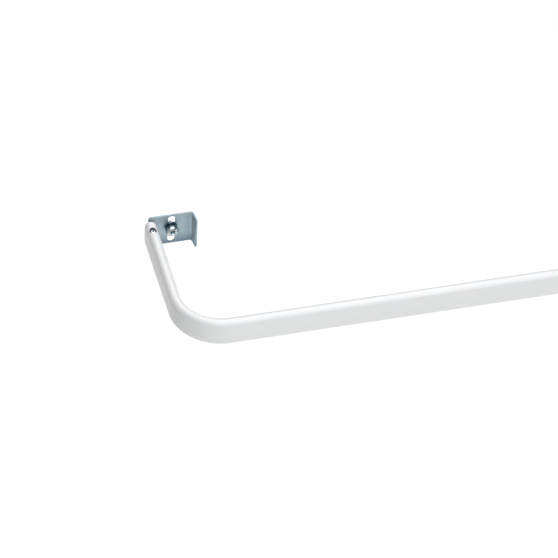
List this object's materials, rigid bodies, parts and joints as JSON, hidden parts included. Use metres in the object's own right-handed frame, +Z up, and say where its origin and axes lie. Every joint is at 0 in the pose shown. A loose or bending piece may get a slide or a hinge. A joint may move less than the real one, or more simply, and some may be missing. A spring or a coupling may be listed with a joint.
{
  "type": "curtain rod",
  "caption": "Wrap-around curtain rod: white flat-oval telescoping tube with a bent return at each end, pinned to slotted zinc-plated wall brackets by clamp screws.",
  "frame": {"origin": "on the wall face of the left bracket's plate, at the rod's mid-height, midway between the plate's slot and its flange bend", "axes": "+X along the rod from the left bracket to the right, +Y into the wall, +Z up; the rod's front run is at -Y"},
  "size_m": [0.7112, 0.1393, 0.0318],
  "materials": {
    "white_enamel": "glossy white baked enamel on steel tube",
    "zinc_sheet": "satin blue-white zinc plate on pressed steel",
    "bright_zinc": "bright zinc plate on turned steel",
    "nylon": "natural moulded nylon"
  },
  "bodies": {
    "fixed_half": {"left_bracket": "zinc_sheet", "outer_tube": "white_enamel"},
    "sliding_half": {"inner_tube": "white_enamel", "inner_glide": "nylon", "right_bracket": "zinc_sheet"},
    "left_washer": {"left_wall_washer": "bright_zinc"},
    "right_washer": {"right_wall_washer": "bright_zinc"},
    "left_screw": {"left_wall_screw": "bright_zinc"},
    "right_screw": {"right_wall_screw": "bright_zinc"},
    "left_clamp": {"left_clamp_screw": "bright_zinc"},
    "right_clamp": {"right_clamp_screw": "bright_zinc"}
  },
  "joints": [
    {"name": "rod_extend", "type": "slide", "parent": "fixed_half", "child": "sliding_half", "axis": [1, 0, 0], "range_m": [0, 0.508]},
    {"name": "left_slot_height", "type": "slide", "parent": "fixed_half", "child": "left_washer", "axis": [0, 0, 1], "range_m": [-0.0139, 0.0081]},
    {"name": "right_slot_height", "type": "slide", "parent": "sliding_half", "child": "right_washer", "axis": [0, 0, 1], "range_m": [-0.0139, 0.0081]},
    {"name": "left_wall_screw_turn", "type": "hinge", "parent": "left_washer", "child": "left_screw", "pos_m": [-0.01005, 0, 0.0029], "axis": [0, 1, 0], "continuous": true},
    {"name": "right_wall_screw_turn", "type": "hinge", "parent": "right_washer", "child": "right_screw", "pos_m": [0.65663, 0, 0.0029], "axis": [0, 1, 0], "continuous": true},
    {"name": "left_clamp_screw_turn", "type": "hinge", "parent": "fixed_half", "child": "left_clamp", "pos_m": [-0.02795, -0.0123, 0], "axis": [0, 0, -1], "continuous": true},
    {"name": "right_clamp_screw_turn", "type": "hinge", "parent": "sliding_half", "child": "right_clamp", "pos_m": [0.67453, -0.0123, 0], "axis": [0, 0, -1], "continuous": true}
  ]
}
